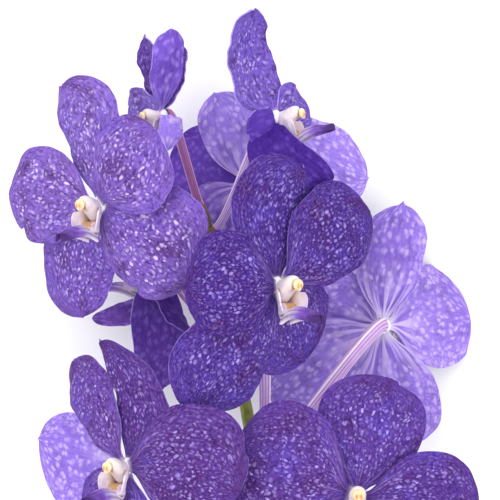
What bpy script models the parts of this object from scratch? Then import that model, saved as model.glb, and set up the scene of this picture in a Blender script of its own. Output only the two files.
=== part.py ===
# Cut flowering stem of a blue-violet vanda orchid, laid on a table.
#
# +X is to the right and +Y towards the tip of the spray, as one looks down on it; +Z is up, away
# from the table at z = 0. The origin lies under the middle of the whole spray.
# All lengths below are in millimetres and are turned to metres where a mesh is made.

import math

import bpy
import bmesh
from mathutils import Matrix, Vector

MM = 0.001

# The middle of the spray, from the point that the flowers are laid out around.
MIDDLE = (-1.0, -119.4)

GAP = 0.3                  # clear space between neighbouring pieces
BLADE = 0.8                # thickness of a sepal or petal
LIP_BLADE = 1.1            # the lip is fleshier
HUB_BACK = 3.0             # receptacle, behind the flower's plane
HUB_FRONT = 1.8            # and in front of it
HUB_RADIUS = 3.4
ROOT_DEPTH = 1.6           # where a sepal or petal starts, from the receptacle's middle
SEPAL_LAYER = -0.7         # sepals leave the receptacle behind the petals
PETAL_LAYER = 0.8
STEM_RADIUS = 2.9
STEM_TIP_RADIUS = 2.0
STUB_REACH = 4.4           # how far a flower's knuckle stands out of the stem's middle
STUB_RADIUS = 2.1
BRACT_LENGTH = 5.5
BRACT_WIDTH = 4.0
PEDICEL_RADIUS = 1.8
OVARY_RADIUS = 2.3
COLUMN_FOOT = -7.2         # the underside of the column's foot, below the flower's middle
LOBE_SPREAD = 0.62         # how far a side lobe of the lip turns outwards to the front
TABLE_TOUCH = 0.03         # what comes this near to the table, or under it, rests flat on it

# Half width along a sepal, a petal, one that is broad from its root on, and one that is broad below
# and drawn out to its tip: place from root to tip, share of the full half width.
SEPAL_OUTLINE = ((0.0, 0.11), (0.08, 0.24), (0.2, 0.60), (0.35, 0.89), (0.52, 1.0),
                 (0.70, 0.98), (0.84, 0.80), (0.94, 0.50), (1.0, 0.17))
PETAL_OUTLINE = ((0.0, 0.09), (0.09, 0.18), (0.21, 0.58), (0.36, 0.89), (0.54, 1.0),
                 (0.72, 0.97), (0.86, 0.78), (0.95, 0.48), (1.0, 0.17))
STRAP_OUTLINE = ((0.0, 0.12), (0.06, 0.26), (0.15, 0.70), (0.27, 0.90), (0.48, 1.0),
                 (0.70, 0.98), (0.85, 0.80), (0.95, 0.48), (1.0, 0.17))
SPADE_OUTLINE = ((0.0, 0.12), (0.08, 0.34), (0.18, 0.76), (0.32, 0.98), (0.45, 1.0),
                 (0.62, 0.84), (0.78, 0.56), (0.90, 0.34), (1.0, 0.17))
OUTLINES = {"sepal": SEPAL_OUTLINE, "petal": PETAL_OUTLINE, "strap": STRAP_OUTLINE,
            "spade": SPADE_OUTLINE}

# The nine flowers. hub is the receptacle's middle; face is where the flower looks; up is the way
# of its upper sepal; size scales the column and the lip. root and lead are the place on the stem
# and the way that the stalk leaves it; back is how far the stalk runs straight behind the flower;
# stalk is how stout the stalk is there, where that isn't 1; lift is how far the lip's tongue rises.
# Each tepal is: kind, tip from the hub, half widths left and right as its face is seen, bow of its
# middle to the front, bend of its middle to the right, roll to the right in degrees, cup of its
# edges to the front, and height and place of the waves of its edge.
FLOWERS = {
    "a": dict(hub=(-60, 18, 84), face=(-0.62, -0.04, 0.78), up=(-0.05, 1, 0), size=1.0,
              root=(-14.5, -4), lead=(-12, 3, 5), back=14, rows=6, tepals=(
        ("sepal", (-16, 48, -9), 13, 18, 0, 4, 0, -3, 1.0, 0.1),
        ("petal", (-38, 6, -22), 19, 20, 3, 0, 0, -3, 1.2, 0.4),
        ("petal", (23, 29, 19), 18, 24, 5, 0, 0, -3, 1.2, 0.7),
        ("sepal", (-8, -45, -14), 14, 24, 0, 4, 0, -3, 1.0, 0.2),
        ("sepal", (36, -31, 11), 30, 19, 3, 0, 0, -4, 1.2, 0.5))),
    "b": dict(hub=(-36, 55, 62), face=(-0.85, -0.1, 0.5), up=(0, 1, 0), size=0.8,
              root=(-18.5, 14), lead=(-4, 9, 0), back=3.5, rows=5, tepals=(
        ("sepal", (-7.5, 32, -6), 9, 7, -1, 0, 0, 1, 0.8, 0.1),
        ("petal", (4.5, 34, 12), 7, 8, -2, 0, -90, 1, 0.8, 0.4),
        ("strap", (4.5, 30, -12), 8, 7, -2, 2, 30, 1, 0.8, 0.8),
        ("strap", (2, -15, 13), 5, 5, -7, 0, 90, 1, 0.8, 0.2),
        ("sepal", (-14.5, 5, -17), 9, 9, 1, 0, 0, 1, 0.8, 0.5))),
    "c": dict(hub=(11, 54, 62), face=(0.94, 0.12, 0.32), up=(0, 1, 0), size=0.95,
              root=(-16.5, 6), lead=(6, 6, 3), back=5, lift=5.0, rows=6, tepals=(
        ("strap", (-10, 43.5, 4), 16.5, 12.5, -8, -0.5, -25, 3, 1.0, 0.1),
        ("strap", (22, -26, 7), 16, 6, -13, -1.5, -100, -2, 1.0, 0.4),
        ("spade", (14, 1, -20), 14.5, 11, 0.5, 0, 0, 2, 1.0, 0.8),
        ("sepal", (38, -24, -24), 19, 23, -2, 0, 0, 1, 1.0, 0.2),
        ("strap", (-12, -6, 7), 10, 12, 2, 0, 0, 1, 1.0, 0.5))),
    "d": dict(hub=(-2, 28, 32), face=(0.1, -0.1, -0.99), up=(0.2, 1, 0), size=0.9,
              root=(-12, -17), lead=(6, 5, 2), back=12, rows=5, tepals=(
        ("sepal", (-13, 38, -5), 15, 11, -2, 0, 0, 1, 1.0, 0.1),
        ("petal", (-28, 22, -34), 13, 20, 2, 0, 0, 1, 1.0, 0.4),
        ("sepal", (-20, -20, -5), 13, 13, -2, 0, 0, 1, 1.0, 0.8),
        ("petal", (23, 15, -6), 13, 13, 1, 0, 0, 1, 1.0, 0.2),
        ("sepal", (20, -24, -7), 13, 13, 0, 0, 0, 1, 1.0, 0.5))),
    "e": dict(hub=(11, -14, 88), face=(0.66, 0.0, 0.75), up=(0.05, 1, 0), size=1.05, stalk=1.6,
              root=(1, -76), lead=(7, 6, 6), back=14, rows=6, tepals=(
        ("sepal", (10, 47, -6), 22, 12, -1, -5, 0, -2, 1.0, 0.1),
        ("petal", (-36, -2, 24), 18, 23, 5, 0, 0, -3, 1.2, 0.4),
        ("petal", (38, 29, -26), 24, 15, 3, 0, 0, -2, 1.0, 0.7),
        ("sepal", (-32, -51, 5), 19, 25, 3, 2, 0, -3, 1.2, 0.2),
        ("sepal", (11, -31, -20), 26, 21, -4, 0, 0, -1, 1.0, 0.5))),
    "f": dict(hub=(56, -32, 32), face=(0.3, -0.08, -0.95), up=(0, 1, 0), size=1.0, stalk=1.35,
              root=(3, -90), lead=(9, 7, 8), back=18, rows=6, tepals=(
        ("sepal", (9, 51, -8), 13, 16, -2, 0, 0, 2, 1.0, 0.1),
        ("petal", (40, 2, -34), 20, 25, 4, 0, 0, 1, 1.2, 0.4),
        ("petal", (-34, 12, -8), 17, 17, 3, 0, 0, 1, 1.0, 0.7),
        ("sepal", (11, -52, -18), 20, 19, 0, 0, 0, 0.5, 1.2, 0.2),
        ("sepal", (-48, -30, -6), 19, 22, -3, 0, 0, 1, 1.0, 0.5))),
    "g": dict(hub=(-49, -86, 84), face=(-0.65, 0.0, 0.76), up=(0, 1, 0), size=1.0,
              root=(4.5, -101), lead=(-13, 2, 5), back=16, rows=6, tepals=(
        ("spade", (-11, 49, -3), 5, 22, 0, 4, 0, -2, 1.0, 0.1),
        ("petal", (-23, 41, -22), 9, 14, 4, 0, 0, -2, 1.0, 0.4),
        ("petal", (45, -8, 22), 27, 21, 4, -4, 0, -4, 1.2, 0.7),
        ("sepal", (-38, 8, -36), 24, 14, -3, 0, 0, 1, 1.0, 0.2),
        ("strap", (-12, -45, -14), 20, 18, 0, 0, 0, -2, 1.0, 0.5))),
    "h": dict(hub=(42, -98, 86), face=(0.05, 0.12, 0.99), up=(0, 1, 0), size=1.05,
              root=(7, -121), lead=(12, 4, 6), back=12, rows=6, tepals=(
        ("sepal", (13, 47, 0), 23, 20, -2, 0, 0, -3, 1.2, 0.1),
        ("petal", (-50, 17, 5), 22, 28, 6, 0, 0, -3, 1.2, 0.4),
        ("petal", (49, -7, 0), 22, 18, 6, 0, 0, -3, 1.2, 0.7),
        ("sepal", (-18, -40, -10), 16, 17, -3, 0, 0, -2, 1.2, 0.2),
        ("sepal", (22, -40, -4), 17, 16, 2, 0, 0, -2, 1.2, 0.5))),
    "i": dict(hub=(-42, -8, 40), face=(-0.93, 0.12, -0.35), up=(0, 1, 0), size=0.9,
              root=(-9.5, -30), lead=(-9, 1, 3), back=9, rows=5, tepals=(
        ("strap", (4, -51, -18), 12, 12, -4, 0, 43, 0, 1.0, 0.1),
        ("petal", (-25, -21, -16), 4, 6, 0, 5, 75, 1, 0.8, 0.4),
        ("petal", (-6, 22, 4), 11, 11, 0, 0, 0, 2, 0.8, 0.8),
        ("sepal", (2, 22, -22), 9, 9, 0, 0, 0, 2, 1.0, 0.2),
        ("sepal", (20, -30, 6), 8, 8, -1, 0, 0, 1, 1.0, 0.5))),
}

# The stem's middle line from its tip down to the cut end.
STEM_LINE = ((-18.5, 14.5, 57.0), (-15.0, -3.0, 57.0), (-10.0, -27.0, 56.5), (-3.0, -58.0, 56.0),
             (3.0, -90.0, 55.5), (7.0, -120.0, 53.0), (10.0, -155.0, 45.0), (12.0, -195.0, 31.0),
             (13.0, -235.0, 17.0), (13.0, -275.0, 6.5), (13.0, -310.0, 2.9), (13.0, -336.0, 2.9))


for old in list(bpy.data.objects):
    bpy.data.objects.remove(old)


def skin(name, colour, roughness):
    """One plant tissue as a Principled material."""
    material = bpy.data.materials.new(name)
    material.use_nodes = True
    shader = material.node_tree.nodes["Principled BSDF"]
    shader.inputs["Base Color"].default_value = (*colour, 1.0)
    shader.inputs["Roughness"].default_value = roughness
    shader.inputs["Metallic"].default_value = 0.0
    material.diffuse_color = (*colour, 1.0)
    return material


TEPAL_SKIN = skin("violet tepal", (0.105, 0.045, 0.42), 0.45)
LIP_SKIN = skin("violet lip", (0.16, 0.06, 0.45), 0.4)
COLUMN_SKIN = skin("white column", (0.85, 0.78, 0.70), 0.4)
CAP_SKIN = skin("yellow anther cap", (0.75, 0.42, 0.10), 0.4)
PEDICEL_SKIN = skin("mauve stalk", (0.52, 0.28, 0.52), 0.45)
STEM_SKIN = skin("green stem", (0.20, 0.24, 0.05), 0.5)


def solid(name, bm, material=None, smooth=50):
    """A finished mesh in metres becomes a named object, moved so that the spray's middle is the origin."""
    for vert in bm.verts:
        vert.co = Vector((vert.co.x - MIDDLE[0], vert.co.y - MIDDLE[1], vert.co.z)) * MM
    bmesh.ops.recalc_face_normals(bm, faces=bm.faces)
    mesh = bpy.data.meshes.new(name)
    bm.to_mesh(mesh)
    bm.free()
    mesh.shade_smooth()
    mesh.set_sharp_from_angle(angle=math.radians(smooth))
    thing = bpy.data.objects.new(name, mesh)
    bpy.context.scene.collection.objects.link(thing)
    if material:
        mesh.materials.append(material)
    return thing


def loft(rings):
    """Rings of points, one after the other, joined into a closed skin with flat ends."""
    bm = bmesh.new()
    loops = [[bm.verts.new(point) for point in ring] for ring in rings]
    count = len(loops[0])
    for lower, upper in zip(loops, loops[1:]):
        for i in range(count):
            j = (i + 1) % count
            bm.faces.new((lower[i], lower[j], upper[j], upper[i]))
    bm.faces.new(loops[0][::-1])
    bm.faces.new(loops[-1])
    return bm


def along(table, place):
    """Smooth value at a place from 0 to 1 in a short table of (place, value)."""
    for (x0, y0), (x1, y1) in zip(table, table[1:]):
        if place <= x1:
            t = (place - x0) / (x1 - x0)
            return y0 + (y1 - y0) * t * t * (3 - 2 * t) * 0.4 + (y1 - y0) * t * 0.6
    return table[-1][1]


def bezier(p0, p1, p2, p3, t):
    s = 1 - t
    return p0 * s ** 3 + p1 * 3 * s * s * t + p2 * 3 * s * t * t + p3 * t ** 3


def flower_frame(flower):
    """The flower's right, up and forward, and its hub."""
    forward = Vector(flower["face"]).normalized()
    up = Vector(flower["up"])
    up = (up - forward * up.dot(forward)).normalized()
    return up.cross(forward), up, forward, Vector(flower["hub"])


def place(flower, point):
    """A point from the flower's own right, up and forward to the layout, at the flower's size."""
    right, up, forward, hub = flower_frame(flower)
    x, y, z = (value * flower["size"] for value in point)
    return hub + right * x + up * y + forward * z


def tepal_point(flower, tepal, share, across):
    """The middle surface of a sepal or petal: share runs from its root to its tip, across from -1 to 1."""
    kind, tip, left, right_width, bow, bend, roll, cup, wave, phase = tepal
    _, _, forward, hub = flower_frame(flower)
    layer = PETAL_LAYER if kind == "petal" else SEPAL_LAYER
    end = hub + Vector(tip)
    radial = Vector(tip) - forward * Vector(tip).dot(forward)
    radial.normalize()
    start = hub + (forward * layer + radial * ROOT_DEPTH) * flower["size"]
    length = (end - start).length
    chord = (end - start).normalized()
    normal = (forward - chord * forward.dot(chord)).normalized()
    normal = Matrix.Rotation(math.radians(roll), 3, chord) @ normal
    side = chord.cross(normal)

    def spine(t):
        point = bezier(start, start + radial * length * 0.3, end - chord * length * 0.25, end, t)
        return point + (normal * bow + side * bend) * 4 * t * (1 - t)

    middle = spine(share)
    heading = (spine(min(share + 0.02, 1.0)) - spine(max(share - 0.02, 0.0))).normalized()
    outward = heading.cross(normal).normalized()
    facing = outward.cross(heading)
    outline = along(OUTLINES[kind], share)
    width = (right_width if across > 0 else left) * outline
    side_phase = phase if across > 0 else phase + 0.37
    ripple = wave * abs(across) ** 2 * math.sin(2 * math.pi * (2.3 * share + side_phase))
    ripple *= min(1.0, share * 3) * min(1.0, outline)
    # The roots of the five stay flat on the receptacle; the cup and the waves begin beyond it.
    lift = cup * across * across * outline * min(1.0, share * 2.5) + ripple
    return middle + outward * width * across + facing * lift


def sheet(point, columns, rows, thickness):
    """A blade: a grid laid on a surface, cut in triangles, and given its thickness."""
    bm = bmesh.new()
    bmesh.ops.create_grid(bm, x_segments=columns, y_segments=rows, size=1)
    for vert in bm.verts:
        step = (vert.co.y + 1) / 2
        # Rows stand closer at the root and at the tip, where the outline turns.
        vert.co = point(step - 0.08 * math.sin(2 * math.pi * step), vert.co.x)
        vert.co.z = max(vert.co.z, thickness / 2)
    bmesh.ops.triangulate(bm, faces=bm.faces, quad_method="FIXED")
    thing = solid("blade", bm)
    thickener = thing.modifiers.new("thickness", "SOLIDIFY")
    thickener.thickness = thickness * MM
    thickener.offset = 0
    return thing


def fuse(name, first, others, material):
    """Grows the others into the first by one union, and names what comes out."""
    for thing in [first] + others:
        apply_modifiers(thing)
        for vert in thing.data.vertices:
            if vert.co.z < TABLE_TOUCH * MM:
                vert.co.z = 0
    repeats = bpy.data.collections.new(name + " repeats")
    bpy.context.scene.collection.children.link(repeats)
    for thing in others:
        bpy.context.scene.collection.objects.unlink(thing)
        repeats.objects.link(thing)
    union = first.modifiers.new("grown together", "BOOLEAN")
    union.operation = "UNION"
    union.operand_type = "COLLECTION"
    union.collection = repeats
    union.solver = "EXACT"
    apply_modifiers(first)
    for thing in others:
        bpy.data.objects.remove(thing)
    bpy.data.collections.remove(repeats)
    first.name = name
    first.data.name = name
    first.data.materials.clear()
    first.data.materials.append(material)
    first.data.shade_smooth()
    first.data.set_sharp_from_angle(angle=math.radians(50))
    return first


def apply_modifiers(thing):
    """Keeps the shape that the modifiers give and drops the modifiers."""
    bpy.context.view_layer.update()
    seen = thing.evaluated_get(bpy.context.evaluated_depsgraph_get())
    shaped = bpy.data.meshes.new_from_object(seen)
    thing.modifiers.clear()
    plain = thing.data
    thing.data = shaped
    bpy.data.meshes.remove(plain)


def circle(centre, right, up, radius, count, turn=0.0, ridges=0.0):
    """A ring of points; with ridges, every other point stands out by that share."""
    points = []
    for i in range(count):
        angle = 2 * math.pi * i / count + turn
        reach = radius * (1 + (ridges if i % 2 else -ridges))
        points.append(centre + right * math.cos(angle) * reach + up * math.sin(angle) * reach)
    return points


def stem_point(t):
    """The stem's middle at t from 0 at the tip to 1 at the cut, on a smooth line through its points."""
    place_in = t * (len(STEM_LINE) - 1)
    i = min(int(place_in), len(STEM_LINE) - 2)
    t = place_in - i
    p = [Vector(STEM_LINE[min(max(k, 0), len(STEM_LINE) - 1)]) for k in (i - 1, i, i + 1, i + 2)]
    return 0.5 * (2 * p[1] + (p[2] - p[0]) * t + (2 * p[0] - 5 * p[1] + 4 * p[2] - p[3]) * t * t
                  + (3 * p[1] - p[0] - 3 * p[2] + p[3]) * t ** 3)


def stem_radius(t):
    return STEM_TIP_RADIUS + (STEM_RADIUS - STEM_TIP_RADIUS) * min(1.0, t * 2.2)


def knuckle(flower):
    """Where a flower's stalk leaves the stem: the stem's middle there, and the way out."""
    best = min((i / 400 for i in range(401)),
               key=lambda t: (stem_point(t).xy - Vector(flower["root"])).length)
    return stem_point(best), Vector(flower["lead"]).normalized()


# Sepals and petals
for letter, flower in FLOWERS.items():
    profile = ((-HUB_BACK, 2.5), (-1.4, HUB_RADIUS), (1.2, HUB_RADIUS), (HUB_FRONT, 2.7))
    receptacle = solid("receptacle", loft([[place(flower, (math.cos(a) * r, math.sin(a) * r, z))
                                            for a in (2 * math.pi * i / 10 for i in range(10))]
                                           for z, r in profile]))
    blades = [sheet(lambda share, across, tepal=tepal: tepal_point(flower, tepal, share, across),
                    4, flower["rows"], BLADE) for tepal in flower["tepals"]]
    fuse(f"bloom_{letter}_tepals", receptacle, blades, TEPAL_SKIN)

# Columns, with the foot that the lip hangs from: forward place, height of the middle, half height, half width
COLUMN_RINGS = ((2.1, -2.4, 4.9, 2.9), (4.2, -2.2, 5.0, 3.2), (6.0, -0.4, 3.9, 3.3),
                (8.0, 0.8, 3.2, 3.2), (9.6, 1.0, 2.7, 2.8), (10.3, 1.0, 1.9, 2.0))
for letter, flower in FLOWERS.items():
    rings = []
    for z, middle, half_height, half_width in COLUMN_RINGS:
        ring = []
        for i in range(10):
            angle = 2 * math.pi * i / 10
            ring.append(place(flower, (math.cos(angle) * half_width,
                                       max(middle + math.sin(angle) * half_height, COLUMN_FOOT), z)))
        rings.append(ring)
    solid(f"bloom_{letter}_column", loft(rings), COLUMN_SKIN)

# Anther caps on the columns' ends: a dome with its flat side to the column
for letter, flower in FLOWERS.items():
    rings = []
    for z, radius in ((10.6, 1.9), (11.5, 2.4), (12.5, 1.9), (13.1, 0.8)):
        rings.append([place(flower, (math.cos(a) * radius * 1.15, 0.6 + math.sin(a) * radius, z))
                      for a in (2 * math.pi * i / 8 for i in range(8))])
    solid(f"bloom_{letter}_anther_cap", loft(rings), CAP_SKIN)


def midlobe_point(flower, share, across):
    """The lip's middle lobe: an arched tongue that runs forward, widens, and ends in two lobes."""
    half_width = 2.6 + 2.4 * math.sin(math.pi * min(1.0, share * 1.05) ** 1.3)
    if share > 0.9:
        half_width *= 0.9
    height = -10.2 + 1.8 * math.sin(math.pi * share) - 1.6 * share * share
    height += flower.get("lift", 0.0) * share - 4.5 * across * across * (1 - 0.5 * share)
    forward = 5.0 + 19.5 * share - 2.0 * share * (1 - abs(across)) * share
    return place(flower, (across * half_width, height, forward))


def side_lobe_point(flower, side, share, across):
    """One of the two upright lobes beside the column: rounded, spreading outwards to the front."""
    half = 2.6 * math.sqrt(max(0.0, 1 - (share * 0.95) ** 2.2)) + 0.4
    spread = 1.8 + across * half * LOBE_SPREAD
    return place(flower, (side * (2.3 + 1.9 * share + spread), -9.8 + 7.4 * share, 6.6 + across * half))


# Lips: a blunt sac under the column's foot, two side lobes and the middle lobe
for letter, flower in FLOWERS.items():
    rings = []
    for height, depth, radius in ((COLUMN_FOOT - GAP, 6.0, 3.0), (-9.0, 6.0, 3.9), (-11.0, 5.6, 3.5),
                                  (-12.6, 4.8, 2.3), (-13.3, 4.3, 1.1)):
        rings.append([place(flower, (math.cos(a) * radius * 0.95, height, depth + math.sin(a) * radius))
                      for a in (2 * math.pi * i / 8 for i in range(8))])
    sac = solid("sac", loft(rings))
    lobes = [sheet(lambda share, across: midlobe_point(flower, share, across), 4, 4,
                   LIP_BLADE * flower["size"])]
    for side in (-1, 1):
        lobes.append(sheet(lambda share, across, side=side: side_lobe_point(flower, side, share, across),
                           2, 2, BLADE))
    fuse(f"bloom_{letter}_lip", sac, lobes, LIP_SKIN)

# Stalks: six ridges that twist half a turn, thickening into the ovary behind the flower
for letter, flower in FLOWERS.items():
    _, _, forward, hub = flower_frame(flower)
    axis, lead = knuckle(flower)
    start = axis + lead * (STUB_REACH + GAP)
    end = hub - forward * (HUB_BACK * flower["size"] + GAP)
    guides = (start, start + Vector(flower["lead"]), end - forward * flower["back"], end)
    side = lead.orthogonal().normalized()
    rings = []
    steps = 7
    for i in range(steps + 1):
        t = i / steps
        middle = bezier(*guides, t)
        heading = (bezier(*guides, min(1, t + 0.01)) - bezier(*guides, max(0, t - 0.01))).normalized()
        if i == 0:
            heading = lead
        if i == steps:
            heading = forward
        side = (side - heading * side.dot(heading)).normalized()
        radius = PEDICEL_RADIUS + (OVARY_RADIUS - PEDICEL_RADIUS) * t * t
        radius *= 1 + (flower.get("stalk", 1.0) - 1) * min(1.0, t * 2)
        rings.append(circle(middle, side, heading.cross(side), radius, 12, math.pi * t * 0.6, 0.07))
    solid(f"bloom_{letter}_pedicel", loft(rings), PEDICEL_SKIN, 60)

# The stem with its knuckles and bracts
steps = 20
rings = []
side = Vector((1, 0, 0))
for i in range(steps + 1):
    t = i / steps
    heading = (stem_point(min(1, t + 0.01)) - stem_point(max(0, t - 0.01))).normalized()
    side = (side - heading * side.dot(heading)).normalized()
    rings.append(circle(stem_point(t), side, heading.cross(side), stem_radius(t), 10, math.pi / 10))
stalk = solid("stalk", loft(rings))
knuckles = []
for letter, flower in FLOWERS.items():
    axis, lead = knuckle(flower)
    side = lead.orthogonal().normalized()
    up = lead.cross(side)
    knuckles.append(solid("knuckle", loft([circle(axis + lead * reach, side, up, radius, 7)
                                           for reach, radius in ((0.3, STEM_TIP_RADIUS * 0.8),
                                                                 (STUB_REACH, STUB_RADIUS))])))


def bract_point(base, tip, side, share, across):
    """A small pointed scale under a flower's stalk."""
    half_width = BRACT_WIDTH / 2 * (1 - 0.8 * share ** 1.5)
    return base + (tip - base) * share + side * across * half_width


for letter, flower in FLOWERS.items():
    axis, lead = knuckle(flower)
    down = Vector((0.1, -1.0, 0.0)).normalized()
    outward = (lead - down * lead.dot(down)).normalized()
    base = axis + outward * 1.5 + down * 3.0
    tip = base + outward * BRACT_LENGTH + down * 2.5
    side = down.cross(outward)
    knuckles.append(sheet(lambda share, across: bract_point(base, tip, side, share, across), 1, 2, BLADE))
fuse("stem", stalk, knuckles, STEM_SKIN)
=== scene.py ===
import math

import bpy
import bmesh
from mathutils import Matrix, Vector, noise


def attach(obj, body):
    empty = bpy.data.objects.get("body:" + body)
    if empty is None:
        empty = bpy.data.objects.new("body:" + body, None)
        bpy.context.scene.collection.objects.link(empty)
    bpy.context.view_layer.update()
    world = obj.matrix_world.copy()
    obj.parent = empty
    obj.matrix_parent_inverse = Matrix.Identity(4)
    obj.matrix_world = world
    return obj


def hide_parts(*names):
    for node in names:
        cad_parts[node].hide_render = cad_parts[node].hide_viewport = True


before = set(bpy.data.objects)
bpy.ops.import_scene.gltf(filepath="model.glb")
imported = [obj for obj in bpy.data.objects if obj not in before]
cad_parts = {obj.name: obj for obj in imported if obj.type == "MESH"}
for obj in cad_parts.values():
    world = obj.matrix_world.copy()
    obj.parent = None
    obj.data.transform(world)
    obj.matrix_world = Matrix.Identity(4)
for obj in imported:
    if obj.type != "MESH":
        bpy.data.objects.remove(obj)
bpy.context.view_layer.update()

# The stem
# The green stalk that carried the flowers on the plant, cut square at its lower end. It browns
# towards its young tip, and a short knuckle stands out of it wherever a flower's stalk leaves.
MM = 0.001
LAYOUT_MIDDLE = Vector((-1.0, -119.4, 0.0))  # the points below are measured from among the flowers
STEM_LINE = ((-18.5, 14.5, 57.0), (-15.0, -3.0, 57.0), (-10.0, -27.0, 56.5), (-3.0, -58.0, 56.0),
             (3.0, -90.0, 55.5), (7.0, -120.0, 53.0), (10.0, -155.0, 45.0), (12.0, -195.0, 31.0),
             (13.0, -235.0, 17.0), (13.0, -275.0, 6.5), (13.0, -310.0, 2.9), (13.0, -336.0, 2.9))
STEM_RADIUS = 2.9
STEM_TIP_RADIUS = 2.0
STEM_SIDES, STEM_RINGS = 32, 190
STEM_RIDGES = 0.025  # how high its ridges stand, as a share of the radius
KNUCKLE_REACH = 4.4
KNUCKLE_RADIUS = 2.1
CREASE_ANGLE = math.radians(60)

# Each flower: the middle of its receptacle, where it faces, the way of its upper sepal, its size, its
# place on the stem, the way that its stalk leaves, how far the stalk runs straight behind it, how
# stout the stalk is there where that isn't 1, and how far the lip's tongue rises where it does.
BLOOMS = {
    "a": dict(hub=(-60, 18, 84), face=(-0.62, -0.04, 0.78), up=(-0.05, 1, 0), size=1.0,
              root=(-14.5, -4), lead=(-12, 3, 5), back=14),
    "b": dict(hub=(-36, 55, 62), face=(-0.85, -0.1, 0.5), up=(0, 1, 0), size=0.8,
              root=(-18.5, 14), lead=(-4, 9, 0), back=3.5),
    "c": dict(hub=(11, 54, 62), face=(0.94, 0.12, 0.32), up=(0, 1, 0), size=0.95,
              root=(-16.5, 6), lead=(6, 6, 3), back=5, lift=5.0),
    "d": dict(hub=(-2, 28, 32), face=(0.1, -0.1, -0.99), up=(0.2, 1, 0), size=0.9,
              root=(-12, -17), lead=(6, 5, 2), back=12),
    "e": dict(hub=(11, -14, 88), face=(0.66, 0.0, 0.75), up=(0.05, 1, 0), size=1.05,
              root=(1, -76), lead=(7, 6, 6), back=14, stalk=1.6),
    "f": dict(hub=(56, -32, 32), face=(0.3, -0.08, -0.95), up=(0, 1, 0), size=1.0,
              root=(3, -90), lead=(9, 7, 8), back=18, stalk=1.35),
    "g": dict(hub=(-49, -86, 84), face=(-0.65, 0.0, 0.76), up=(0, 1, 0), size=1.0,
              root=(4.5, -101), lead=(-13, 2, 5), back=16),
    "h": dict(hub=(42, -98, 86), face=(0.05, 0.12, 0.99), up=(0, 1, 0), size=1.05,
              root=(7, -121), lead=(12, 4, 6), back=12),
    "i": dict(hub=(-42, -8, 40), face=(-0.93, 0.12, -0.35), up=(0, 1, 0), size=0.9,
              root=(-9.5, -30), lead=(-9, 1, 3), back=9),
}


def new_material(name, roughness, subsurface=0.0, radius=(1.0, 1.0, 1.0), scale=0.001, specular=0.3):
    """A material with one Principled shader whose even values are set on its own sockets."""
    material = bpy.data.materials.new(name)
    material.use_nodes = True
    shader = material.node_tree.nodes["Principled BSDF"]
    shader.inputs["Roughness"].default_value = roughness
    shader.inputs["Subsurface Weight"].default_value = subsurface
    shader.inputs["Subsurface Radius"].default_value = radius
    shader.inputs["Subsurface Scale"].default_value = scale
    shader.inputs["Specular IOR Level"].default_value = specular
    return material, material.node_tree


def add(tree, kind, *sources, **settings):
    """Adds a node; each source in turn is a node, a socket, a value or None for the next input."""
    node = tree.nodes.new("ShaderNode" + kind)
    for name, value in settings.items():
        setattr(node, name, value)
    for socket, source in zip(node.inputs, sources):
        if isinstance(source, bpy.types.Node):
            source = source.outputs[0]
        if isinstance(source, bpy.types.NodeSocket):
            tree.links.new(source, socket)
        elif source is not None:
            socket.default_value = source
    return node


def sums(tree, operation, *sources):
    return add(tree, "Math", *sources, operation=operation)


def times(tree, product, *values):
    for value in values:
        product = sums(tree, "MULTIPLY", product, value)
    return product


def spread(tree, value, low, high, start=0.0, end=1.0):
    """Turns low..high into start..end with soft ends."""
    return add(tree, "MapRange", value, low, high, start, end, interpolation_type="SMOOTHSTEP")


def mixed(tree, share, first, second, blend_type="MIX"):
    """A colour between two, or the second laid on the first in another way."""
    colours = [(*colour, 1.0) if isinstance(colour, tuple) else colour for colour in (first, second)]
    unused = [None] * 5  # the inputs for numbers and for vectors
    return add(tree, "Mix", share, *unused, *colours, data_type="RGBA", blend_type=blend_type).outputs[2]


def laid(tree, colour, shade, pattern, low, high, most=1.0):
    """Lays a shade over a colour as far as a pattern has risen from low to high."""
    return mixed(tree, spread(tree, pattern, low, high, 0.0, most), colour, shade)


def own(tree, name):
    """A value that the piece carries on its points."""
    return add(tree, "Attribute", attribute_name=name).outputs["Fac"]


def grained(tree, scale, detail):
    """Cloudy noise through the piece; the scale is per metre."""
    return add(tree, "TexNoise", add(tree, "TexCoord").outputs["Object"], None, scale, detail)


def toned(tree, grain, first, second):
    """Two shades in soft clouds."""
    return laid(tree, first, second, grain, 0.35, 0.7)


def finished(tree, colour, height=None, depth=0.0, strength=0.0):
    """Gives the shader its colour and, where there is one, a fine relief; the depth is in metres."""
    shader = tree.nodes["Principled BSDF"]
    tree.links.new(colour, shader.inputs["Base Color"])
    if height:
        bump = add(tree, "Bump", strength, depth)
        tree.links.new(height.outputs[0], bump.inputs["Height"])
        tree.links.new(bump.outputs[0], shader.inputs["Normal"])


def ramp(value, start, length):
    """Rises evenly from 0 at the start to 1 a length further on; a negative length runs backwards."""
    return min(1.0, max(0.0, (value - start) / length))


def hill(distance, width):
    """1 where the distance is 0, and falling softly to both sides."""
    return math.exp(-(distance / width) ** 2)


def bezier(p0, p1, p2, p3, t):
    s = 1 - t
    return p0 * s ** 3 + p1 * 3 * s * s * t + p2 * 3 * s * t * t + p3 * t ** 3


def stem_point(t):
    """The stem's middle at t from 0 at its tip to 1 at the cut."""
    place = t * (len(STEM_LINE) - 1)
    i = min(int(place), len(STEM_LINE) - 2)
    t = place - i
    p = [Vector(STEM_LINE[min(max(k, 0), len(STEM_LINE) - 1)]) for k in (i - 1, i, i + 1, i + 2)]
    return 0.5 * (2 * p[1] + (p[2] - p[0]) * t + (2 * p[0] - 5 * p[1] + 4 * p[2] - p[3]) * t * t
                  + (3 * p[1] - p[0] - 3 * p[2] + p[3]) * t ** 3)


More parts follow.
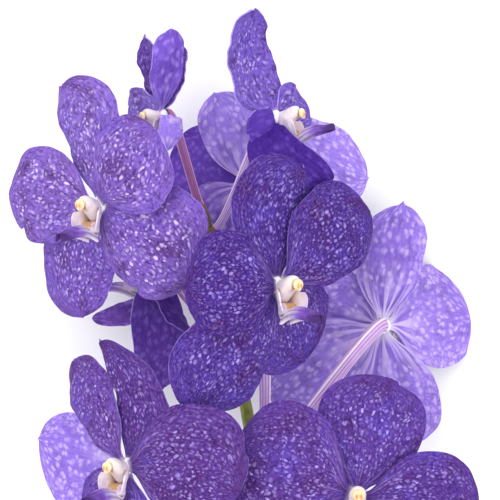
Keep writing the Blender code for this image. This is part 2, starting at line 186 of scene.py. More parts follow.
def knuckle_of(bloom):
    """Where along the stem a flower's stalk leaves it, the stem's middle there, and the way out."""
    best = min((i / 400 for i in range(401)),
               key=lambda t: (stem_point(t).xy - Vector(bloom["root"])).length)
    return best, stem_point(best), Vector(bloom["lead"]).normalized()


def picked(*things):
    """Selects these alone, the first as the one that is worked on."""
    bpy.ops.object.select_all(action="DESELECT")
    for thing in things:
        thing.select_set(True)
    bpy.context.view_layer.objects.active = things[0]


def started(name, primitive, **sizes):
    """A new primitive, with nothing else selected."""
    bpy.ops.object.select_all(action="DESELECT")
    primitive(**sizes)
    bpy.context.object.name = name
    return bpy.context.object


def stored(thing, fact, values):
    """Keeps a value for each point, which a material may read."""
    thing.data.attributes.new(fact, "FLOAT", "POINT").data.foreach_set("value", values)


def tube(name, sides, rings, path, radius, facts):
    """A closed stalk: a cylinder cut into rings, whose points are then laid along a path in millimetres.
    radius(turn, share) is its half thickness and facts(turn, share) what each point carries."""
    thing = started(name, bpy.ops.mesh.primitive_cylinder_add, vertices=sides, radius=1, depth=2,
                    end_fill_type="TRIFAN")
    bpy.ops.object.mode_set(mode="EDIT")
    bpy.ops.mesh.select_mode(type="EDGE")
    bpy.ops.mesh.select_all(action="DESELECT")
    bm = bmesh.from_edit_mesh(thing.data)
    for edge in bm.edges:
        edge.select_set(abs(edge.verts[0].co.z - edge.verts[1].co.z) > 1)
    bmesh.update_edit_mesh(thing.data)
    bpy.ops.mesh.subdivide(number_cuts=rings - 1)
    bpy.ops.object.mode_set(mode="OBJECT")

    frames = []
    side = None
    for i in range(rings + 1):
        t = i / rings
        middle = path(t)
        heading = (path(min(1, t + 0.004)) - path(max(0, t - 0.004))).normalized()
        side = side or heading.orthogonal().normalized()
        side = (side - heading * side.dot(heading)).normalized()
        frames.append((middle, side.copy(), heading.cross(side)))
    carried = {}
    for vert in thing.data.vertices:
        share = (vert.co.z + 1) / 2
        turn = math.atan2(vert.co.y, vert.co.x)
        out = min(1.0, vert.co.xy.length)
        middle, side, other = frames[round(share * rings)]
        for fact, value in facts(turn, share).items():
            carried.setdefault(fact, []).append(value)
        reach = radius(turn, share) * out
        vert.co = middle + side * math.cos(turn) * reach + other * math.sin(turn) * reach
    for fact, values in carried.items():
        stored(thing, fact, values)
    return thing


def joined(name, things):
    """Joins meshes into the first one."""
    picked(*things)
    bpy.ops.object.join()
    things[0].name = name
    return things[0]


def settled(thing, slot, skin, *nodes):
    """Turns millimetres of the layout into metres of the part, and hands the piece over."""
    for vert in thing.data.vertices:
        vert.co = (vert.co - LAYOUT_MIDDLE) * MM
        vert.co.z = max(vert.co.z, 0.0)
    if skin:
        thing.data.materials.append(skin)
    picked(thing)
    bpy.ops.object.shade_smooth_by_angle(angle=CREASE_ANGLE)
    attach(thing, "root")
    if nodes:
        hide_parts(*nodes)


def stem_wave(turn, share):
    """Five shallow ridges that wind slowly round the stem, from -1 to 1."""
    return math.cos(5 * turn + 9 * share)


def stem_swell(turn, share):
    radius = STEM_TIP_RADIUS + (STEM_RADIUS - STEM_TIP_RADIUS) * min(1.0, share * 2.2)
    return radius * (1 + STEM_RIDGES * stem_wave(turn, share))


def knuckle_swell(turn, share):
    """Widens towards the flower's stalk, and is drawn in a little at its very end."""
    return KNUCKLE_RADIUS * (0.86 + 0.2 * share ** 3) * (1 - max(0, share - 0.9))


stalk = tube("stalk", STEM_SIDES, STEM_RINGS, stem_point, stem_swell,
             lambda turn, share: {"share": share, "scar": 0.0, "ridge": 0.5 + 0.5 * stem_wave(turn, share)})
knuckles = []
for bloom in BLOOMS.values():
    share_there, axis, lead = knuckle_of(bloom)
    knuckles.append(tube("knuckle", 20, 8, lambda t: axis + lead * KNUCKLE_REACH * t, knuckle_swell,
                         lambda turn, t: {"share": share_there * (1 - 0.3 * t), "ridge": 0.5,
                                          "scar": ramp(t, 0.45, 0.4)}))
stem = joined("flower_stem", [stalk] + knuckles)

stem_skin, tree = new_material("green stalk skin", 0.42, 0.15, (0.6, 1.0, 0.3))
mottle = grained(tree, 260.0, 4.0)
fleck = add(tree, "TexVoronoi", add(tree, "TexCoord").outputs["Object"], None, 700.0)
leaf_green = toned(tree, mottle, (0.17, 0.21, 0.030), (0.30, 0.34, 0.055))
young_brown = toned(tree, mottle, (0.13, 0.085, 0.035), (0.21, 0.16, 0.06))
colour = laid(tree, young_brown, leaf_green, own(tree, "share"), 0.05, 0.26)
colour = laid(tree, colour, (0.09, 0.05, 0.03), fleck, 0.22, 0.1, 0.45)
colour = laid(tree, colour, (0.36, 0.40, 0.12), own(tree, "ridge"), 0.2, 1.0, 0.3)
scar = times(tree, own(tree, "scar"), spread(tree, mottle, 0.3, 0.6, 0.5, 0.9))
colour = mixed(tree, scar, colour, (0.34, 0.13, 0.05))
finished(tree, colour, mottle, 0.0002, 0.5)
settled(stem, "stem", stem_skin, "stem")

# Bracts
# A small dry scale under each flower's stalk, once the leaf that wrapped its bud. Papery and rust
# brown, it starts at the stem below the knuckle, reaches out under the stalk and droops a little.
BRACT_LENGTH = 5.5
BRACT_WIDTH = 4.0
BRACT_THICKNESS = 0.5
BRACT_HOLLOW = 1.1
BRACT_STAND_OFF, BRACT_BELOW = 1.5, 3.0  # its root, out from the stem's middle and below the knuckle
BRACT_DROOP = 2.5


def blade_grid(name, columns, rows):
    """A flat grid; its x runs across from -1 to 1 and its y from -1 at the root to 1 at the tip."""
    return started(name, bpy.ops.mesh.primitive_grid_add, x_subdivisions=columns, y_subdivisions=rows, size=2)


def modified(thing, kind, **settings):
    """Finishes a piece with one modifier."""
    modifier = thing.modifiers.new(kind, kind)
    for name, value in settings.items():
        setattr(modifier, name, value)
    picked(thing)
    bpy.ops.object.modifier_apply(modifier=kind)
    return thing


def thickened(thing, thickness, back=0, rim=0):
    """Gives a blade its thickness; its back and its rim may take other materials."""
    return modified(thing, "SOLIDIFY", thickness=thickness, offset=0, material_offset=back,
                    material_offset_rim=rim)


scales = []
for bloom in BLOOMS.values():
    _, axis, lead = knuckle_of(bloom)
    down = Vector((0.1, -1.0, 0.0)).normalized()
    outward = (lead - down * lead.dot(down)).normalized()
    base = axis + outward * BRACT_STAND_OFF + down * BRACT_BELOW
    tip = base + outward * BRACT_LENGTH + down * BRACT_DROOP
    side = down.cross(outward)
    scale_leaf = blade_grid("scale", 8, 10)
    for vert in scale_leaf.data.vertices:
        across, share = vert.co.x, (vert.co.y + 1) / 2
        half_width = BRACT_WIDTH / 2 * (1 - 0.85 * share ** 1.5)
        hollow = (outward + down * 0.4) * (BRACT_HOLLOW * across * across * (1 - share))
        vert.co = base + (tip - base) * share + side * across * half_width - hollow
    scales.append(thickened(scale_leaf, BRACT_THICKNESS))
bracts = joined("stem_bracts", scales)

bract_skin, tree = new_material("dry brown scale", 0.6)
grain = grained(tree, 500.0, 4.0)
colour = toned(tree, grain, (0.16, 0.045, 0.018), (0.42, 0.17, 0.07))
finished(tree, colour, grain, 0.0002, 0.6)
settled(bracts, "stem", bract_skin)

# Flower stalks
# The pedicel that carries each flower, with the ovary at its upper end: six pale ridges on mauve
# flesh, which twist a little as the bud turned over when it opened.
STALK_SIDES, STALK_RINGS = 48, 56
STALK_RADIUS = 1.8
OVARY_RADIUS = 2.3
HUB_BACK = 3.0  # how far the receptacle reaches back to its stalk
GAP = 0.3  # clear space between neighbouring pieces
# How white the ridges are, how pale the flesh between them and how brown it is, for each flower.
STALK_TONES = {"a": (0.5, 0.2, 0.2), "b": (0.3, 0.1, 0.6), "c": (0.9, 0.9, 0.0), "d": (0.6, 0.5, 0.1),
               "e": (1.0, 0.95, 0.0), "f": (0.95, 0.75, 0.0), "g": (0.7, 0.4, 0.1), "h": (0.7, 0.4, 0.1),
               "i": (0.5, 0.2, 0.3)}

stalk_skin, tree = new_material("ridged mauve stalk", 0.5, 0.2, (1.0, 0.5, 0.8), specular=0.12)
mottle = grained(tree, 180.0, 3.0)
ridge, line, white, brown = (own(tree, fact) for fact in ("ridge", "line", "white", "brown"))
flesh = mixed(tree, own(tree, "flesh"), (0.34, 0.11, 0.38), (0.66, 0.50, 0.80))
flesh = mixed(tree, brown, flesh, (0.36, 0.11, 0.13))
flesh = laid(tree, flesh, (0.52, 0.28, 0.58), mottle, 0.3, 0.75, 0.4)
crest = mixed(tree, white, (0.52, 0.24, 0.40), (0.80, 0.70, 0.82))
groove = mixed(tree, 0.7, flesh, (0.22, 0.06, 0.28))
colour = laid(tree, groove, flesh, line, 0.10, 0.42)
colour = laid(tree, colour, crest, ridge, 0.50, 0.85)
finished(tree, colour, mottle, 0.0001, 0.4)


def ridge_at(turn, share):
    """Six ridges, every other one a little higher, that wind slowly round; from 0 to 1."""
    wind = 3 * turn - 2.25 * share
    return (0.5 + 0.5 * math.cos(2 * wind)) * (0.75 + 0.25 * math.cos(wind))


for letter, bloom in BLOOMS.items():
    _, axis, lead = knuckle_of(bloom)
    forward = Vector(bloom["face"]).normalized()
    start = axis + lead * (KNUCKLE_REACH + GAP)
    end = Vector(bloom["hub"]) - forward * (HUB_BACK * bloom["size"] + GAP)
    guides = (start, start + Vector(bloom["lead"]), end - forward * bloom["back"], end)
    white_share, flesh_share, brown_share = STALK_TONES[letter]

    def stalk_swell(turn, share):
        radius = STALK_RADIUS + (OVARY_RADIUS - STALK_RADIUS) * share * share
        radius *= 1 + (bloom.get("stalk", 1.0) - 1) * min(1.0, share * 2)
        radius *= 1 + 0.12 * hill(1 - share, 0.04) + 0.10 * hill(share, 0.03)
        return radius * (0.91 + 0.18 * ridge_at(turn, share) ** 1.5)

    stalk = tube(f"stalk_of_bloom_{letter}", STALK_SIDES, STALK_RINGS, lambda t: bezier(*guides, t),
                 stalk_swell,
                 lambda turn, share: {"ridge": ridge_at(turn, share), "white": white_share,
                                      "line": 0.5 + 0.5 * math.cos(12 * turn - 9 * share),
                                      "flesh": flesh_share, "brown": brown_share * (1 - 0.7 * share)})
    settled(stalk, "pedicel", stalk_skin, f"bloom_{letter}_pedicel")

# Sepals and petals
# Five broad waxy blades on each flower, three sepals behind and two petals before them: deep
# blue violet, netted darker and flecked pale on the face, with a paler, softly blotched back.
BLADE = 0.6
SEPAL_LAYER, PETAL_LAYER = -0.7, 0.8  # sepals leave the receptacle behind the petals
ROOT_DEPTH = 1.6  # how far from the receptacle's middle they start
RIB_DEPTH, RIB_WIDTH = 0.45, 1.6  # the groove along a blade's middle
FINE_RIPPLE = 0.22  # how tall the quick waves of an edge are
PUFF_HEIGHT, PUFF_SCALE = 0.55, 0.11  # soft swellings, and how many there are to a millimetre
NIB_FROM = 0.95  # where along a sepal the small point at its tip begins
LONG_NIB, SHORT_NIB = 1.6, 0.6
MAP_UNIT, MAP_MIDDLE = 10.0, 50.0  # millimetres to a unit of a blade's own coordinates
# Half widths along a blade, as pairs of place and share of its full half width: the two usual kinds,
# one broad from its root on, one drawn out to its tip, and one broadest low down.
OUTLINES = {
    "sepal": ((0.0, 0.11), (0.08, 0.24), (0.2, 0.60), (0.35, 0.89), (0.52, 1.0),
              (0.70, 0.98), (0.84, 0.80), (0.94, 0.50)),
    "petal": ((0.0, 0.09), (0.09, 0.18), (0.21, 0.58), (0.36, 0.89), (0.54, 1.0),
              (0.72, 0.97), (0.86, 0.78), (0.95, 0.48)),
    "strap": ((0.0, 0.12), (0.06, 0.26), (0.15, 0.70), (0.27, 0.90), (0.48, 1.0),
              (0.70, 0.98), (0.85, 0.80), (0.95, 0.48)),
    "spade": ((0.0, 0.12), (0.08, 0.34), (0.18, 0.76), (0.32, 0.98), (0.45, 1.0),
              (0.62, 0.84), (0.78, 0.56), (0.90, 0.34)),
    "paddle": ((0.0, 0.14), (0.06, 0.50), (0.15, 1.04), (0.27, 1.20), (0.48, 1.07),
               (0.70, 0.98), (0.85, 0.88), (0.95, 0.58)),
}
COLUMNS, ROWS = 28, 46
# Each blade: kind, tip from the hub, half widths left and right as its face is seen, bow of its
# middle to the front, bend to the right, roll to the right in degrees, cup of its edges, height and
# place of its waves, and how pale and how pink it is, from 0 to 1. The paleness is partly the
# blade's own tone and partly painted light and shade, set blade by blade: paler where a blade is
# lit through from behind, darker where it lies in shadow.
BLADES = {
    "a": (("sepal", (-16, 48, -9), 13, 18, 0, 4, 0, -3, 1.0, 0.1, 0.74, 0.5),
          ("petal", (-38, 6, -22), 19, 20, 3, 0, 0, -3, 1.2, 0.4, 0.71, 0.6),
          ("petal", (23, 29, 19), 18, 24, 5, 0, 0, -3, 1.2, 0.7, 0.65, 0.55),
          ("sepal", (-8, -45, -14), 14, 24, 0, 4, 0, -3, 1.0, 0.2, 0.50, 0.5),
          ("sepal", (36, -31, 11), 30, 19, 3, 0, 0, -4, 1.2, 0.5, 0.66, 0.6)),
    "b": (("sepal", (-7.5, 32, -6), 9, 7, -1, 0, 0, 1, 0.8, 0.1, 0.36, 0.5),
          ("petal", (4.5, 34, 12), 7, 8, -2, 0, -90, 1, 0.8, 0.4, 0.46, 0.1),
          ("strap", (4.5, 30, -12), 8, 7, -2, 2, 30, 1, 0.8, 0.8, 0.22, 0.6),
          ("strap", (2, -15, 13), 5, 5, -7, 0, 90, 1, 0.8, 0.2, 0.85, 0.1),
          ("sepal", (-14.5, 5, -17), 9, 9, 1, 0, 0, 1, 0.8, 0.5, 0.80, 0.2)),
    "c": (("paddle", (-10, 43.5, 4), 14.2, 10, -8, -0.5, -25, 3, 1.0, 0.1, 0.64, 0.0),
          ("strap", (22, -26, 7), 16, 6, -13, -1.5, -100, -2, 1.0, 0.4, 0.06, 0.1),
          ("spade", (14, 1, -20), 14.5, 11, 0.5, 0, 0, 2, 1.0, 0.8, 0.66, 0.0),
          ("sepal", (38, -24, -24), 23, 19, 2, 0, 180, -1, 1.0, 0.2, 0.86, 0.0),
          ("strap", (-12, -6, 7), 8, 10, -2, 0, 180, -1, 1.0, 0.5, 0.24, 0.1)),
    "d": (("sepal", (-13, 38, -5), 15, 11, -2, 0, 0, 1, 1.0, 0.1, 1.0, 0.1),
          ("petal", (-28, 22, -34), 13, 20, 2, 0, 0, 1, 1.0, 0.4, 0.30, 0.35),
          ("sepal", (-20, -20, -5), 13, 13, -2, 0, 0, 1, 1.0, 0.8, 0.72, 0.5),
          ("petal", (23, 15, -6), 13, 13, 1, 0, 0, 1, 1.0, 0.2, 0.84, 0.1),
          ("sepal", (20, -24, -7), 13, 13, 0, 0, 0, 1, 1.0, 0.5, 0.80, 0.1)),
    "e": (("sepal", (10, 47, -6), 25, 13.5, -1, -3.8, 0, -2, 1.0, 0.1, 0.12, 0.2),
          ("petal", (-36, -2, 24), 18, 23, 5, 0, 0, -3, 1.2, 0.4, 0.08, 0.3),
          ("petal", (38, 29, -26), 24, 15, 3, 0, 0, -2, 1.0, 0.7, 0.10, 0.3),
          ("sepal", (-32, -51, 5), 19, 25, 3, 2, 0, -3, 1.2, 0.2, 0.14, 0.2),
          ("sepal", (11, -31, -20), 26, 21, -4, 0, 0, -1, 1.0, 0.5, 0.17, 0.3)),
    "f": (("sepal", (9, 51, -8), 13, 16, -2, 0, 0, 2, 1.0, 0.1, 0.79, 0.1),
          ("petal", (40, 2, -34), 20, 25, 4, 0, 0, 1, 1.2, 0.4, 0.85, 0.1),
          ("petal", (-34, 12, -8), 17, 17, 3, 0, 0, 1, 1.0, 0.7, 0.86, 0.2),
          ("sepal", (11, -52, -18), 20, 19, 0, 0, 0, 0.5, 1.2, 0.2, 0.86, 0.1),
          ("sepal", (-48, -30, -6), 19, 22, -3, 0, 0, 1, 1.0, 0.5, 0.92, 0.1)),
    "g": (("spade", (-11, 49, -3), 5, 22, 0, 4, 0, -2, 1.0, 0.1, 0.16, 0.8),
          ("petal", (-23, 41, -22), 9, 14, 4, 0, 0, -2, 1.0, 0.4, 0.38, 0.7),
          ("petal", (45, -8, 22), 27, 21, 4, -4, 0, -4, 1.2, 0.7, 0.18, 0.9),
          ("sepal", (-38, 8, -36), 14, 24, 3, 0, 180, -1, 1.0, 0.2, 0.78, 0.0),
          ("strap", (-11, -45, -14), 20, 22, 0, 0, 0, -2, 1.0, 0.5, 0.34, 0.4)),
    "h": (("sepal", (13, 47, 0), 23, 20, -2, 0, 0, -3, 1.2, 0.1, 0.24, 0.5),
          ("petal", (-50, 17, 5), 22, 28, 6, 0, 0, -3, 1.2, 0.4, 0.21, 0.7),
          ("petal", (49, -7, 0), 22, 18, 6, 0, 0, -3, 1.2, 0.7, 0.16, 0.6),
          ("sepal", (-18, -40, -10), 16, 17, -3, 0, 0, -2, 1.2, 0.2, 0.18, 0.5),
          ("sepal", (22, -40, -4), 17, 16, 2, 0, 0, -2, 1.2, 0.5, 0.18, 0.5)),
    "i": (("strap", (4, -51, -18), 12, 12, -4, 0, 43, 0, 1.0, 0.1, 0.37, 0.6),
          ("petal", (-25, -21, -16), 4, 6, 0, 5, 75, 1, 0.8, 0.4, 0.40, 0.9),
          ("petal", (-6, 22, 4), 11, 11, 0, 0, 0, 2, 0.8, 0.8, 0.15, 0.5),
          ("sepal", (2, 22, -22), 9, 9, 0, 0, 0, 2, 1.0, 0.2, 0.15, 0.5),
          ("sepal", (20, -30, 6), 8, 8, -1, 0, 0, 1, 1.0, 0.5, 0.12, 0.6)),
}
# How coarse a flower's flecks are, and how strong, from 0 to 1.
FLECKS = {"a": (1.05, 1.0), "b": (1.1, 0.7), "c": (1.0, 0.8), "d": (1.0, 0.8), "e": (0.95, 0.85),
          "f": (1.0, 0.9), "g": (0.95, 0.85), "h": (0.95, 0.9), "i": (1.0, 0.5)}
# The flesh from dark to pale, and where on the way from 0 to 1 each shade passes into the next.
BLUES = ((0.045, 0.011, 0.215), (0.135, 0.068, 0.46), (0.235, 0.140, 0.64), (0.42, 0.315, 0.86))
ROSES = ((0.062, 0.011, 0.150), (0.160, 0.062, 0.33), (0.285, 0.140, 0.56), (0.48, 0.33, 0.82))
PALE_STEPS = ((-0.05, 0.30), (0.28, 0.62), (0.58, 1.05))
# Nicks in an edge: flower, blade, side, place along it, depth as a share of the half width, breadth.
NICKS = (("a", 1, -1, 0.80, 0.16, 0.035), ("a", 4, 1, 0.62, 0.10, 0.03), ("h", 0, 1, 0.95, 0.22, 0.03),
         ("b", 1, 1, 0.97, 0.16, 0.03), ("e", 1, 1, 0.93, 0.12, 0.03), ("g", 2, -1, 0.90, 0.10, 0.03))
# Where the point of an upper sepal isn't in its middle: how far to the right it stands, from -1 to 1.
POINTS = {"a": -0.5, "c": 0.9}
BLUNT = "cdh"  # flowers whose upper sepal has only a short point


def frame_of(bloom):
    """The flower's right, up and forward, and its hub."""
    forward = Vector(bloom["face"]).normalized()
    up = Vector(bloom["up"])
    up = (up - forward * up.dot(forward)).normalized()
    return up.cross(forward), up, forward, Vector(bloom["hub"])


def outline_at(kind, share):
    """Half width along a blade, as a share of its full half width, closing round at the tip."""
    table = OUTLINES[kind]
    last, value = table[-1]
    if share >= last:
        return max(0.05, value * math.sqrt(max(0.0, (1 - share) / (1 - last))))
    i = max(k for k in range(len(table) - 1) if table[k][0] <= share)
    points = [table[max(0, i - 1)], table[i], table[i + 1], table[min(len(table) - 1, i + 2)]]
    (x0, y0), (x1, y1), (x2, y2), (x3, y3) = points
    t = (share - x1) / (x2 - x1)
    slope1 = (y2 - y0) / (x2 - x0) * (x2 - x1)
    slope2 = (y3 - y1) / (x3 - x1) * (x2 - x1)
    return (y1 * (2 * t ** 3 - 3 * t * t + 1) + slope1 * (t ** 3 - 2 * t * t + t)
            + y2 * (3 * t * t - 2 * t ** 3) + slope2 * (t ** 3 - t * t))


def blade_spine(bloom, shape):
    """The line along a blade's middle, the way that the blade's face looks, and its length."""
    kind, tip, _, _, bow, bend, roll = shape[:7]
    _, _, forward, hub = frame_of(bloom)
    layer = PETAL_LAYER if kind == "petal" else SEPAL_LAYER
    end = hub + Vector(tip)
    radial = (Vector(tip) - forward * Vector(tip).dot(forward)).normalized()
    start = hub + (forward * layer + radial * ROOT_DEPTH) * bloom["size"]
    length = (end - start).length
    chord = (end - start).normalized()
    normal = (forward - chord * forward.dot(chord)).normalized()
    normal = Matrix.Rotation(math.radians(roll), 3, chord) @ normal
    side = chord.cross(normal)

    def spine(t):
        point = bezier(start, start + radial * length * 0.3, end - chord * length * 0.25, end, t)
        return point + (normal * bow + side * bend) * 4 * t * (1 - t)

    return spine, normal, length


def blade_lift(shape, outline, across, share, sideways, along, patch):
    """How far a point stands out of a flat blade: its cup, its waved edge, its rib and its swellings."""
    cup, wave, phase = shape[7:10]
    phase += 0 if across > 0 else 0.37
    reach = abs(across)
    tall = min(1.0, outline) * min(1.0, share * 3)
    lift = cup * across * across * outline * min(1.0, share * 2.5)
    lift += wave * reach ** 2 * math.sin(2 * math.pi * (2.3 * share + phase)) * tall
    lift += FINE_RIPPLE * reach ** 5 * math.sin(2 * math.pi * (7.3 * share + 2 * phase)) * tall
    lift -= RIB_DEPTH * hill(sideways, RIB_WIDTH) * min(1.0, share * 5) * (1 - 0.6 * share)
    puff = noise.noise(Vector((sideways * PUFF_SCALE + patch, along * PUFF_SCALE, patch)))
    return lift + PUFF_HEIGHT * puff * min(1.0, share * 4)


def tepal(letter, number, bloom, shape):
    """One sepal or petal in its place, with its tones and its own coordinates."""
    kind, _, left, right, *_, pale, pink = shape
    spine, normal, length = blade_spine(bloom, shape)
    rows = []
    for i in range(ROWS + 1):
        step = i / ROWS
        share = step - 0.08 * math.sin(2 * math.pi * step)  # closer rows at the root and the tip
        heading = (spine(min(share + 0.02, 1.0)) - spine(max(share - 0.02, 0.0))).normalized()
        outward = heading.cross(normal).normalized()
        rows.append((share, spine(share), heading, outward, outward.cross(heading), outline_at(kind, share)))

    thing = blade_grid("blade", COLUMNS, ROWS)
    nicks = [nick[2:] for nick in NICKS if nick[:2] == (letter, number)]
    nib_length = LONG_NIB if number == 0 and letter not in BLUNT else SHORT_NIB
    nib_place = POINTS.get(letter, 0.0) if number == 0 else 0.0
    coarse, fleck = FLECKS[letter]
    patch = (ord(letter) - ord("a") + 1) * 13.7 + number * 5.3  # another part of the pattern for each
    carried = {"pale": [], "pink": [], "share": [], "across": [], "fleck": []}
    places = []
    for vert in thing.data.vertices:
        across = vert.co.x
        share, middle, heading, outward, facing, outline = rows[round((vert.co.y + 1) / 2 * ROWS)]
        full = right if across > 0 else left
        width = full * outline
        for side, place, depth, breadth in nicks:
            if side * across > 0:
                width -= full * depth * hill(share - place, breadth) * across * across
        sideways, along = across * full, share * length
        lift = blade_lift(shape, outline, across, share, sideways, along, patch)
        point = middle + outward * width * across + facing * lift
        if kind != "petal" and share > NIB_FROM:
            nib = ramp(share, NIB_FROM, 1 - NIB_FROM) ** 1.6
            nib *= max(0.0, 1 - abs(across - nib_place) / 0.7) ** 1.3
            point += (heading - facing * 0.6 + outward * nib_place * 2) * nib_length * nib
        point.z = max(point.z, BLADE / 2)
        vert.co = point
        unit = MAP_UNIT * coarse
        places.append(((sideways + MAP_MIDDLE) / unit + patch, along / unit + patch))
        for fact, value in zip(carried, (pale, pink, share, across, fleck)):
            carried[fact].append(value)
    blade_map = thing.data.uv_layers.active
    blade_map.name = "blade"
    for loop in thing.data.loops:
        blade_map.data[loop.index].uv = places[loop.vertex_index]
    for fact, values in carried.items():
        stored(thing, fact, values)
    for material in (face_skin, back_skin, rim_skin, hub_skin):
        thing.data.materials.append(material)
    return thickened(thing, BLADE, back=1, rim=2)


def tepal_colours(tree):
    """The colour of the flesh, darkest to palest blades, bluer or pinker; paleness is partly painted light
    and shade.
    """
    pale = own(tree, "pale")
    shades = []
    for colour, *paler in (BLUES, ROSES):
        for (low, high), shade in zip(PALE_STEPS, paler):
            colour = laid(tree, colour, shade, pale, low, high)
        shades.append(colour)
    return mixed(tree, own(tree, "pink"), *shades)


def cloudy(tree, place, scale, detail, roughness=0.5):
    return add(tree, "TexNoise", place, None, scale, detail, roughness, noise_dimensions="2D")


def celled(tree, place, scale=1.0, feature="F1"):
    return add(tree, "TexVoronoi", place, None, scale, voronoi_dimensions="2D", feature=feature)


def warped(tree, amount, across_cells, along_cells):
    """Coordinates on a blade, gently warped, with so many cells to a unit across it and along it."""
    uv = add(tree, "UVMap", uv_map="blade")
    wander = cloudy(tree, uv, 2.4, 3.0)
    shift = add(tree, "VectorMath", wander.outputs["Color"], (0.5, 0.5, 0.5), operation="SUBTRACT")
    shift = add(tree, "VectorMath", shift, (amount, amount, 0.0), operation="MULTIPLY")
    moved = add(tree, "VectorMath", uv, shift, operation="ADD")
    return add(tree, "VectorMath", moved, (across_cells, along_cells, 1.0), operation="MULTIPLY")


def fanned(tree, across_scale, along_scale):
    """Streaks that fan out of a blade's root."""
    sideways = times(tree, own(tree, "across"), across_scale)
    along = times(tree, own(tree, "share"), along_scale)
    return cloudy(tree, add(tree, "CombineXYZ", sideways, along), 1.0, 2.0)


def blade_material(name, roughness):
    return new_material(name, roughness, 0.1, (0.6, 0.35, 1.0), specular=0.06)


face_skin, tree = blade_material("violet face", 0.55)
flesh = tepal_colours(tree)
share, reach = own(tree, "share"), sums(tree, "ABSOLUTE", own(tree, "across"))
uv = add(tree, "UVMap", uv_map="blade")
cells = warped(tree, 0.26, 4.2, 3.5)
fine = warped(tree, 0.30, 8.5, 6.6)
cloud = cloudy(tree, uv, 0.75, 2.0)
cluster = cloudy(tree, uv, 1.9, 2.0)
grain = cloudy(tree, fine, 1.0, 3.0, 0.6)
blotch = cloudy(tree, cells, 1.35, 2.0)
hatch = cloudy(tree, warped(tree, 0.15, 13.0, 3.2), 1.0, 2.0)
pips = celled(tree, cells)
small = celled(tree, fine, 0.8)
net = celled(tree, fine, 0.8, "DISTANCE_TO_EDGE").outputs["Distance"]
# The zone of the flecks: not at the root, and fading towards the edge and the tip.
zone = times(tree, spread(tree, share, 0.06, 0.26), spread(tree, share, 1.0, 0.74),
             spread(tree, reach, 1.0, 0.55))
strength = times(tree, zone, own(tree, "fleck"), spread(tree, own(tree, "pale"), 1.1, 0.8, 0.45, 1.0))
# Broad areas of bluer and of browner violet, then a fine net of darker flesh round paler cells.
colour = laid(tree, flesh, (0.085, 0.013, 0.115), cloud, 0.53, 0.72, 0.50)
colour = laid(tree, colour, (0.16, 0.10, 0.72), cloud, 0.46, 0.26, 0.30)
dim = mixed(tree, 0.68, colour, (0.016, 0.002, 0.075))
lit = mixed(tree, 0.26, colour, (0.55, 0.42, 1.0))
colour = laid(tree, colour, dim, blotch, 0.48, 0.66, 0.62)
colour = laid(tree, colour, dim, grain, 0.50, 0.70, 0.70)
colour = laid(tree, colour, lit, net, 0.14, 0.50, 0.75)
edge_hatch = times(tree, spread(tree, hatch, 0.52, 0.72), spread(tree, reach, 0.35, 0.9, 0.20, 0.65))
colour = mixed(tree, edge_hatch, colour, lit)
colour = mixed(tree, 1.0, colour, (0.66, 0.60, 0.71), "MULTIPLY")
# Round pale flecks of uneven size and brightness, in some cells only, with small ones and dark
# pips between them.
chance = add(tree, "SeparateColor", pips.outputs["Color"])
size_of = sums(tree, "MULTIPLY_ADD", chance.outputs[1], 0.22, 0.10)
ragged = sums(tree, "MULTIPLY_ADD", grain, 0.10, -0.05)
nearness = sums(tree, "ADD", sums(tree, "SUBTRACT", size_of, pips.outputs["Distance"]), ragged)
fleck = times(tree, spread(tree, nearness, -0.09, 0.10), spread(tree, chance.outputs[0], 0.26, 0.40),
              spread(tree, cluster, 0.34, 0.56, 0.25, 1.0), strength)
bright = sums(tree, "MULTIPLY_ADD", sums(tree, "POWER", chance.outputs[2], 1.3), 0.72, 0.24)
small_chance = add(tree, "SeparateColor", small.outputs["Color"])
pip = times(tree, spread(tree, small.outputs["Distance"], 0.50, 0.14),
            spread(tree, small_chance.outputs[0], 0.58, 0.75), zone, sums(tree, "SUBTRACT", 1.0, fleck), 0.50)
colour = mixed(tree, pip, colour, (0.020, 0.002, 0.045))
fleck_tone = mixed(tree, own(tree, "pale"), (0.36, 0.27, 0.78), (0.82, 0.66, 0.98))
glint = times(tree, spread(tree, small.outputs["Distance"], 0.46, 0.12),
              spread(tree, small_chance.outputs[1], 0.60, 0.76), strength, 0.42)
colour = mixed(tree, glint, colour, fleck_tone)
colour = mixed(tree, times(tree, fleck, bright), colour, fleck_tone)
# Pale streaks fan out of the root, which is whitish itself.
ray = times(tree, spread(tree, fanned(tree, 9.0, 1.4), 0.54, 0.68),
            spread(tree, share, 0.36, 0.06, 0.0, 0.45))
colour = mixed(tree, ray, colour, (0.38, 0.26, 0.66))
colour = laid(tree, colour, (0.70, 0.58, 0.74), share, 0.070, 0.0, 0.8)
relief = sums(tree, "ADD", spread(tree, net, 0.0, 0.4), times(tree, hatch, 0.8))
finished(tree, colour, relief, 0.00022, 0.5)

# The back: its flesh, a soft net that shows most towards the margin, and faint round spots.
back_skin, tree = blade_material("pale violet back", 0.6)
flesh = tepal_colours(tree)
share, pale = own(tree, "share"), own(tree, "pale")
uv = add(tree, "UVMap", uv_map="blade")
margin = spread(tree, sums(tree, "ABSOLUTE", own(tree, "across")), 0.35, 0.95)
spots = celled(tree, warped(tree, 0.30, 3.3, 2.7))
net = celled(tree, warped(tree, 0.25, 6.4, 5.2), feature="DISTANCE_TO_EDGE").outputs["Distance"]
cloud = cloudy(tree, uv, 0.9, 2.0)
hatch = cloudy(tree, warped(tree, 0.2, 9.0, 1.5), 1.0, 3.0)
grain = cloudy(tree, uv, 9.0, 3.0, 0.6)
dim = mixed(tree, 0.6, flesh, (0.03, 0.004, 0.13))
glow = spread(tree, pale, 0.2, 0.8)
lit = mixed(tree, 0.55, flesh, mixed(tree, glow, (0.26, 0.12, 0.75), (0.70, 0.60, 1.0)))
soft = sums(tree, "MULTIPLY_ADD", pale, 0.75, 0.20)
colour = laid(tree, flesh, dim, cloud, 0.48, 0.72, 0.5)
